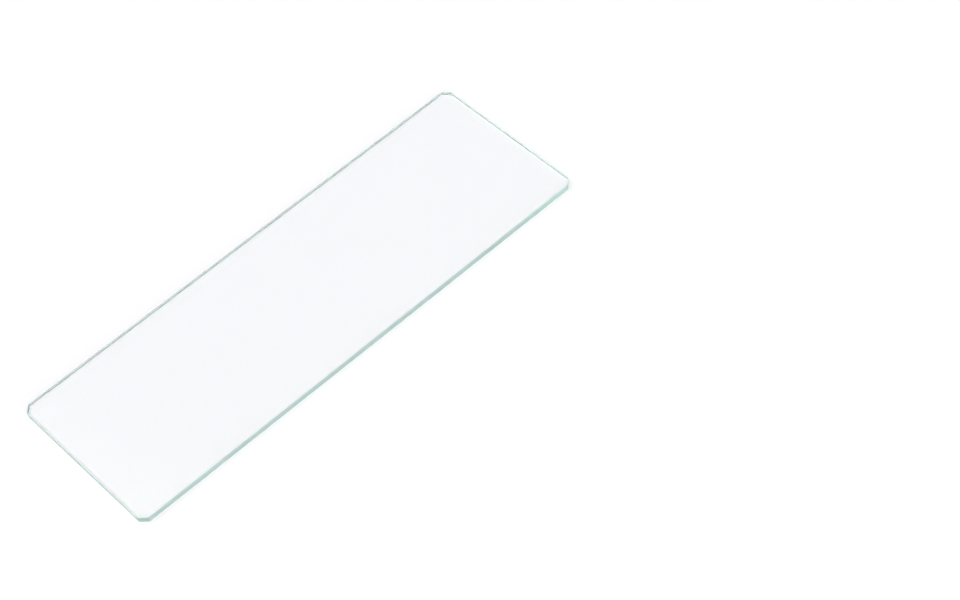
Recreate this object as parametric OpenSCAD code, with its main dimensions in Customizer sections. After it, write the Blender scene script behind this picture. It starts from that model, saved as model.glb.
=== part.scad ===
// Plain microscope slide: one plate of soda-lime glass with clipped corners and a ground rim.
// It lies flat. The origin is the centre of the face it lies on, +X runs along its length,
// +Y across its width and +Z up through the glass.

/* [Plate] */
// Length of the slide, between its two short edges
slide_l = 76; // [40:0.5:120]
// Width of the slide, between its two long edges
slide_w = 26; // [20:0.5:60]
// Thickness of the glass
glass_t = 1; // [0.8:0.05:2]

/* [Clipped corners] */
// How far a corner is cut back along each of its two edges, at 45 degrees
clip_leg = 1; // [0.6:0.05:4]
// Radius that eases each end of a clipped corner into the edge beside it
clip_ease = 0.2; // [0.15:0.05:1]

/* [Ground rim] */
// Width and height of the small 45 degree seam that breaks both arrises of the rim
seam = 0.06; // [0.04:0.01:0.3]
// Angle between neighbouring passes of the grinding wheel round an eased corner
pass_turn = 15; // [5, 9, 15, 22.5]

/* [Hidden] */

// Pale green-grey of clear glass seen against white
glass_tint = [0.84, 0.92, 0.9];

// Longer than the plate is wide in any direction, so a pass always runs right across it
pass_l = 2 * (slide_l + slide_w);

// Where the arcs of an eased corner are centred, counted in from the two edges beside it. The
// second figure keeps the straight of the clip at clip_leg whatever radius eases its ends.
ease_near = clip_ease;
ease_far = clip_leg + clip_ease * (sqrt(2) - 1);

// Arc centres at the corner where X and Y are positive: at the short edge and at the long edge
ease_centres = [
    [slide_l / 2 - ease_near, slide_w / 2 - ease_far],
    [slide_l / 2 - ease_far, slide_w / 2 - ease_near]
];

// Distance from the middle of the plate to the side of the rim that faces the angle turn. All four
// corners are alike, so the corner where X and Y are positive answers for every angle.
function rim_reach(turn) =
    clip_ease + max([for (c = ease_centres) c * [abs(cos(turn)), abs(sin(turn))]]);

// Section across the glass between two opposite sides of the rim: each side is a square land with
// a seam above and below it
module rim_section(across) {
    side = across / 2;
    polygon([
        [seam - side, 0],
        [side - seam, 0],
        [side, seam],
        [side, glass_t - seam],
        [side - seam, glass_t],
        [seam - side, glass_t],
        [-side, glass_t - seam],
        [-side, seam]
    ]);
}

// Bar of glass left by one pass of the wheel along each of the two sides that face turn and
// turn + 180 degrees
module ground_pair(turn) {
    rotate(turn)
        rotate([90, 0, 0])
            linear_extrude(height = pass_l, center = true)
                rim_section(2 * rim_reach(turn));
}

// The slide is what every pass leaves: two for the edges, two for the clipped corners, and the
// rest for the eased ends of the clips, so the seam runs on round the corners at one width
module glass_slide() {
    color(glass_tint)
        intersection_for(turn = [0:pass_turn:180 - pass_turn])
            ground_pair(turn);
}

glass_slide();
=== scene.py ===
import math

import bmesh
import bpy
from mathutils import Matrix, Vector


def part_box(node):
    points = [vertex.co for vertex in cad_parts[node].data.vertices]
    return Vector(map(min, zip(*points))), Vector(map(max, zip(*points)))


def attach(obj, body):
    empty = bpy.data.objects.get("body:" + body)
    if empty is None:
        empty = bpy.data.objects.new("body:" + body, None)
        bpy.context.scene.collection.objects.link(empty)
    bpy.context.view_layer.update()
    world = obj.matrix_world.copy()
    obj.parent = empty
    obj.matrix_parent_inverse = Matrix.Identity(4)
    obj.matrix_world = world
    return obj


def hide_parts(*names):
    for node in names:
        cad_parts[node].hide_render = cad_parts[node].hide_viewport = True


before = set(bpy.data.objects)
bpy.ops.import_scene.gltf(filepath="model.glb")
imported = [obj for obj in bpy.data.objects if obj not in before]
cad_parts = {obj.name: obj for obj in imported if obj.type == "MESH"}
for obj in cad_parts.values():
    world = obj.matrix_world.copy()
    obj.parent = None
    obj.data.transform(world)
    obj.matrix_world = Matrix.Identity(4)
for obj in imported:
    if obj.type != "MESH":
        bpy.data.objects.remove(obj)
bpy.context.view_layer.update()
print("frame loaded")

mm = 0.001


def linearColour(hexText):
    # sRGB hex to the linear colour that Blender works in
    levels = [int(hexText[i:i + 2], 16) / 255 for i in (0, 2, 4)]
    return [c / 12.92 if c <= 0.04045 else ((c + 0.055) / 1.055) ** 2.4 for c in levels] + [1.0]


def addNode(tree, kind, settings=None, values=None):
    # one node: settings are its own properties, values are socket values or links by socket name
    node = tree.nodes.new(kind)
    for name, value in (settings or {}).items():
        setattr(node, name, value)
    for name, value in (values or {}).items():
        socket = node.inputs[name]
        if isinstance(value, bpy.types.NodeSocket):
            tree.links.new(value, socket)
        else:
            socket.default_value = value
    return node


def newMaterial(name):
    material = bpy.data.materials.new(name)
    material.use_nodes = True
    material.node_tree.nodes.clear()
    return material, material.node_tree


# glass plate: cut from drawn sheet, corners clipped, rim ground and its arrises seamed
slideShape = {
    "clipLeg": 1.0 * mm,      # cut back along both edges
    "clipEase": 0.2 * mm,     # radius at the ends of a clip
    "easeSteps": 6,
    "seam": 0.06 * mm,        # 45 degree seam on both arrises
    "arris": 0.012 * mm,      # what is left sharp after seaming, barely rounded
    "arrisSteps": 2,
    "endGround": 0.5,         # the short ends are ground finer than the long edges and the clips,
    "endFrost": 1.05,         # which leaves more and smaller cracks, so they look whiter
}

level = 1e-7                        # two ends of a level edge differ less than this in height
sharpTurn = math.radians(40)        # faces at an edge that is still to be worked turn by more


def bevelEdges(bm, edges, offset, segments):
    bmesh.ops.bevel(bm, geom=edges, offset=offset, offset_type="OFFSET", segments=segments,
                    profile=0.5, affect="EDGES", material=-1, clamp_overlap=True)


def sharpEdges(bm, upright):
    # the edges at the outline's corners, or else those round the rim
    return [e for e in bm.edges
            if (abs(e.verts[0].co.z - e.verts[1].co.z) > level) == upright
            and e.calc_face_angle() > sharpTurn]


def makeSlide(low, high):
    bm = bmesh.new()
    bmesh.ops.create_cube(bm, size=1.0)
    bmesh.ops.scale(bm, vec=high - low, verts=bm.verts)
    bmesh.ops.translate(bm, vec=(low + high) / 2, verts=bm.verts)

    clipTurn = math.radians(45)
    easeReach = slideShape["clipEase"] * math.tan(clipTurn / 2)
    bevelEdges(bm, sharpEdges(bm, True), slideShape["clipLeg"], 1)
    bevelEdges(bm, sharpEdges(bm, True), easeReach, slideShape["easeSteps"])
    bevelEdges(bm, sharpEdges(bm, False), slideShape["seam"], 1)
    bevelEdges(bm, sharpEdges(bm, False), slideShape["arris"], slideShape["arrisSteps"])
    bmesh.ops.recalc_face_normals(bm, faces=bm.faces)

    # ground and frost are 0 on the two polished faces and 1 on a rim ground as the long edges are,
    # and the rim map runs along the rim and up it, in metres
    ground = bm.faces.layers.float.new("ground")
    frost = bm.faces.layers.float.new("frost")
    rimMap = bm.loops.layers.uv.new("rimMap")
    for face in bm.faces:
        n = face.normal
        flat = abs(n.z) > 0.999
        shortEnd = not flat and abs(n.y) < 0.01
        face[ground] = 0.0 if flat else slideShape["endGround"] if shortEnd else 1.0
        face[frost] = 0.0 if flat else slideShape["endFrost"] if shortEnd else 1.0
        along = Vector((1, 0, 0)) if flat else Vector((-n.y, n.x, 0)).normalized()
        up = n.cross(along)
        for loop in face.loops:
            loop[rimMap].uv = (loop.vert.co.dot(along), loop.vert.co.dot(up))

    mesh = bpy.data.meshes.new("slideGlass")
    bm.to_mesh(mesh)
    bm.free()
    piece = bpy.data.objects.new("slideGlass", mesh)
    bpy.context.scene.collection.objects.link(piece)
    return piece


glassLook = {
    "index": 1.52,
    "polished": "ffffff",
    "rimOutside": "ffffff",
    "rimWithinPaintedShade": "b8acb1",             # painted shade: the rim is darker where it is seen from within the glass, green most, so the edges seen through the top face come out dark grey rather than teal
    "absorbed": (24, 1.5, 6),          # per metre of glass, for red, green and blue
    "drawnWave": (40 * mm, 9 * mm),    # the sheet was drawn along its length and rolls across it
    "drawnSwell": 0.0004 * mm,
    "groundRoughness": (0.28, 0.4),
    "groundHaze": (0.18, 0.38),        # share of light that the fine cracks of grinding scatter
    "hazeWithin": 0.85,                # how much of that haze shows from within the glass
    "grit": 0.14 * mm,                 # real pits are 0.03 mm, drawn coarser so that they show
    "stroke": (3 * mm, 0.1 * mm),      # the wheel ran along the rim
    "groundDepth": 0.012 * mm,
}


def scaledNoise(tree, place, size, detail):
    # noise whose lumps are about as long as size along each direction of place
    spread = addNode(tree, "ShaderNodeVectorMath", {"operation": "DIVIDE"}, {0: place, 1: size})
    return addNode(tree, "ShaderNodeTexNoise", None, {
        "Vector": spread.outputs[0],
        "Scale": 1.0,
        "Detail": detail,
    }).outputs[0]


def groundShare(tree, ground, grain, low, high):
    # 0 on the polished faces, and low to high over the grain of the ground rim
    ranged = addNode(tree, "ShaderNodeMapRange", None, {
        "Value": grain,
        "From Min": 0.3,      # most of a noise lies from here
        "From Max": 0.7,      # to here
        "To Min": low,
        "To Max": high,
    })
    return addNode(tree, "ShaderNodeMath", {"operation": "MULTIPLY"},
                   {0: ranged.outputs[0], 1: ground}).outputs[0]


def mixedColour(tree, share, first, second):
    return addNode(tree, "ShaderNodeMix", {"data_type": "RGBA"},
                   {0: share, 6: first, 7: second}).outputs[2]


def makeGlass():
    # soda-lime glass: clear through its 1 mm, green-blue where light comes along the sheet
    material, tree = newMaterial("soda-lime glass, polished faces and ground rim")
    ground = addNode(tree, "ShaderNodeAttribute", {"attribute_name": "ground"}).outputs["Fac"]
    frost = addNode(tree, "ShaderNodeAttribute", {"attribute_name": "frost"}).outputs["Fac"]
    within = addNode(tree, "ShaderNodeNewGeometry").outputs["Backfacing"]
    along = addNode(tree, "ShaderNodeUVMap", {"uv_map": "rimMap"}).outputs["UV"]
    place = addNode(tree, "ShaderNodeTexCoord").outputs["Object"]

    wave = scaledNoise(tree, place, (*glassLook["drawnWave"], 1.0), 1.0)
    rolls = addNode(tree, "ShaderNodeBump", None,
                    {"Strength": 1.0, "Distance": glassLook["drawnSwell"], "Height": wave})
    pits = scaledNoise(tree, along, [glassLook["grit"]] * 3, 3.0)
    strokes = scaledNoise(tree, along, (*glassLook["stroke"], 1.0), 2.0)
    halfStrokes = addNode(tree, "ShaderNodeMath", {"operation": "MULTIPLY"},
                          {0: strokes, 1: 0.5}).outputs[0]
    grain = addNode(tree, "ShaderNodeMath", {"operation": "MULTIPLY_ADD"},
                    {0: pits, 1: 0.5, 2: halfStrokes}).outputs[0]
    relief = addNode(tree, "ShaderNodeBump", None, {
        "Strength": ground,
        "Distance": glassLook["groundDepth"],
        "Height": grain,
        "Normal": rolls.outputs[0],
    })

    rough = groundShare(tree, ground, grain, *glassLook["groundRoughness"])
    shown = addNode(tree, "ShaderNodeMapRange", None,
                    {"Value": within, "To Min": 1.0, "To Max": glassLook["hazeWithin"]}).outputs[0]
    frosted = addNode(tree, "ShaderNodeMath", {"operation": "MULTIPLY"},
                      {0: frost, 1: shown}).outputs[0]
    haze = groundShare(tree, frosted, strokes, *glassLook["groundHaze"])
    clear = addNode(tree, "ShaderNodeMath", {"operation": "SUBTRACT"}, {0: 1.0, 1: haze}).outputs[0]
    # painted shade: seen from within the glass the rim takes the darker colour, seen from outside it
    # stays white
    rimPaintedShade = mixedColour(tree, within, linearColour(glassLook["rimOutside"]),
                          linearColour(glassLook["rimWithinPaintedShade"]))
    baseColourWithRimShade = mixedColour(tree, ground, linearColour(glassLook["polished"]), rimPaintedShade)
    glass = addNode(tree, "ShaderNodeBsdfPrincipled", None, {
        "Base Color": baseColourWithRimShade,
        "Roughness": rough,
        "IOR": glassLook["index"],
        "Transmission Weight": clear,
        "Normal": relief.outputs[0],
    })
    most = max(glassLook["absorbed"])
    inside = addNode(tree, "ShaderNodeVolumeAbsorption", None, {
        "Color": [1 - a / most for a in glassLook["absorbed"]] + [1.0],
        "Density": most,
    })
    addNode(tree, "ShaderNodeOutputMaterial", None,
            {"Surface": glass.outputs[0], "Volume": inside.outputs[0]})
    return material


low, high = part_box("glass_slide")
slide = makeSlide(low, high)
slide.data.materials.append(makeGlass())
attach(slide, "root")
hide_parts("glass_slide")
print("slide made:", len(slide.data.polygons), "faces")


# stage
stageLook = {
    "floorSize": 3.0,
    "airGap": 0.02 * mm,       # the slide rests on its high spots, so air is under it
    "floor": "fafafa",
    "ownLight": 0.25,          # share of plain white that the eye gets from the floor
}

# soft studio: each light is given by the azimuth and elevation of its middle, by how far from there
# it is full and where it has faded out, all in degrees, and by its brightness. The horizon is a light
# seen from below, so it is all that lies well away from straight down.
studioLook = {
    "surround": (0.01, 0.01, 0.01),
    "lights": {
        "horizon": {"azimuth": 0, "elevation": -90, "fades": 118, "full": 100,
                    "light": (0.75, 0.75, 0.75)},
        "keyFront": {"azimuth": -115, "elevation": 62, "fades": 25, "full": 10,
                     "light": (3.15, 3.15, 3.15)},
        "keyBack": {"azimuth": 110, "elevation": 62, "fades": 25, "full": 10,
                    "light": (2.1, 2.1, 2.1)},
        "keyLeft": {"azimuth": 165, "elevation": 60, "fades": 25, "full": 10,
                    "light": (0.6, 0.6, 0.6)},
        "overhead": {"azimuth": 0, "elevation": 90, "fades": 25, "full": 10,
                     "light": (0.6, 0.6, 0.6)},
        "sky": {"azimuth": 55, "elevation": 51, "fades": 30, "full": 12,
                "light": (0.38, 0.18, 0.37)},
        "front": {"azimuth": -90, "elevation": 25, "fades": 35, "full": 15,
                  "light": (1, 1, 1)},
        "leftBack": {"azimuth": 135, "elevation": 35, "fades": 30, "full": 12,
                     "light": (0.9, 0.9, 0.9)},
        "leftFront": {"azimuth": -135, "elevation": 35, "fades": 30, "full": 12,
                      "light": (1.15, 1.15, 1.15)},
        "rightFront": {"azimuth": -45, "elevation": 35, "fades": 30, "full": 12,
                       "light": (0.5, 0.5, 0.5)},
        "right": {"azimuth": 0, "elevation": 35, "fades": 30, "full": 12,
                  "light": (0.5, 0.5, 0.5)},
    },
}


def makeFloor():
    bm = bmesh.new()
    bmesh.ops.create_grid(bm, x_segments=1, y_segments=1, size=stageLook["floorSize"] / 2)
    bmesh.ops.translate(bm, vec=(0, 0, low.z - stageLook["airGap"]), verts=bm.verts)
    mesh = bpy.data.meshes.new("floor")
    bm.to_mesh(mesh)
    bm.free()
    floor = bpy.data.objects.new("floor", mesh)
    bpy.context.scene.collection.objects.link(floor)

    material, tree = newMaterial("white matt board")
    board = addNode(tree, "ShaderNodeBsdfDiffuse", None, {"Color": linearColour(stageLook["floor"])})
    white = addNode(tree, "ShaderNodeEmission", None, {"Color": (1, 1, 1, 1), "Strength": 1.0})
    path = addNode(tree, "ShaderNodeLightPath")
    seen = path.outputs["Is Camera Ray"]
    for name in ("Is Glossy Ray", "Is Transmission Ray"):
        seen = addNode(tree, "ShaderNodeMath", {"operation": "MAXIMUM"},
                       {0: seen, 1: path.outputs[name]}).outputs[0]
    share = addNode(tree, "ShaderNodeMath", {"operation": "MULTIPLY"},
                    {0: seen, 1: stageLook["ownLight"]}).outputs[0]
    mixed = addNode(tree, "ShaderNodeMixShader", None,
                    {0: share, 1: board.outputs[0], 2: white.outputs[0]})
    addNode(tree, "ShaderNodeOutputMaterial", None, {"Surface": mixed.outputs[0]})
    mesh.materials.append(material)
    return floor


makeFloor()


def makeStudio():
    # dark room with softboxes: the light is all in the world, so it is soft and has no lamp edges
    world = bpy.data.worlds.new("studio")
    world.use_nodes = True
    tree = world.node_tree
    tree.nodes.clear()
    way = addNode(tree, "ShaderNodeTexCoord").outputs["Generated"]
    light = None
    for name, box in studioLook["lights"].items():
        across, up = math.radians(box["azimuth"]), math.radians(box["elevation"])
        axis = (math.cos(up) * math.cos(across), math.cos(up) * math.sin(across), math.sin(up))
        turned = addNode(tree, "ShaderNodeVectorMath", {"operation": "DOT_PRODUCT", "label": name},
                         {0: way, 1: axis}).outputs["Value"]
        share = addNode(tree, "ShaderNodeMapRange", {"interpolation_type": "SMOOTHSTEP"}, {
            "Value": turned,
            "From Min": math.cos(math.radians(box["fades"])),
            "From Max": math.cos(math.radians(box["full"])),
        }).outputs[0]
        lit = addNode(tree, "ShaderNodeVectorMath", {"operation": "SCALE"},
                      {0: box["light"], "Scale": share}).outputs[0]
        light = addNode(tree, "ShaderNodeVectorMath", {"operation": "ADD"},
                        {0: lit, 1: light or studioLook["surround"]}).outputs[0]
    sky = addNode(tree, "ShaderNodeBackground", None, {"Color": light, "Strength": 1.0})
    addNode(tree, "ShaderNodeOutputWorld", None, {"Surface": sky.outputs[0]})
    bpy.context.scene.world = world


makeStudio()
print("floor and studio made")

# camera
view = {
    "aim": Vector((15.64, -18.06, 0)) * mm,   # where the middle of the view meets the floor
    "azimuth": -34.94,
    "elevation": 51.33,
    "roll": -10.11,
    "distance": 335.3 * mm,
    "lens": 94.5,
    "sensor": 36,
    "nearest": 1 * mm,
    # light runs along the sheet by dozens of reflections between its faces before it leaves the rim
    "bounces": {"max_bounces": 128, "glossy_bounces": 128, "transmission_bounces": 32},
}


def makeCamera():
    data = bpy.data.cameras.new("camera")
    data.lens = view["lens"]
    data.sensor_width = view["sensor"]
    data.clip_start = view["nearest"]
    camera = bpy.data.objects.new("camera", data)
    turn = (Matrix.Rotation(math.radians(view["azimuth"]), 4, "Z")
            @ Matrix.Rotation(math.radians(90 - view["elevation"]), 4, "X")
            @ Matrix.Rotation(math.radians(view["roll"]), 4, "Z"))
    back = turn.to_3x3() @ Vector((0, 0, 1))
    camera.matrix_world = Matrix.Translation(view["aim"] + back * view["distance"]) @ turn
    bpy.context.scene.collection.objects.link(camera)
    bpy.context.scene.camera = camera


makeCamera()

scene = bpy.context.scene
scene.view_settings.view_transform = "Standard"
for name, count in view["bounces"].items():
    setattr(scene.cycles, name, count)
scene.cycles.blur_glossy = 0.0
print("camera made")
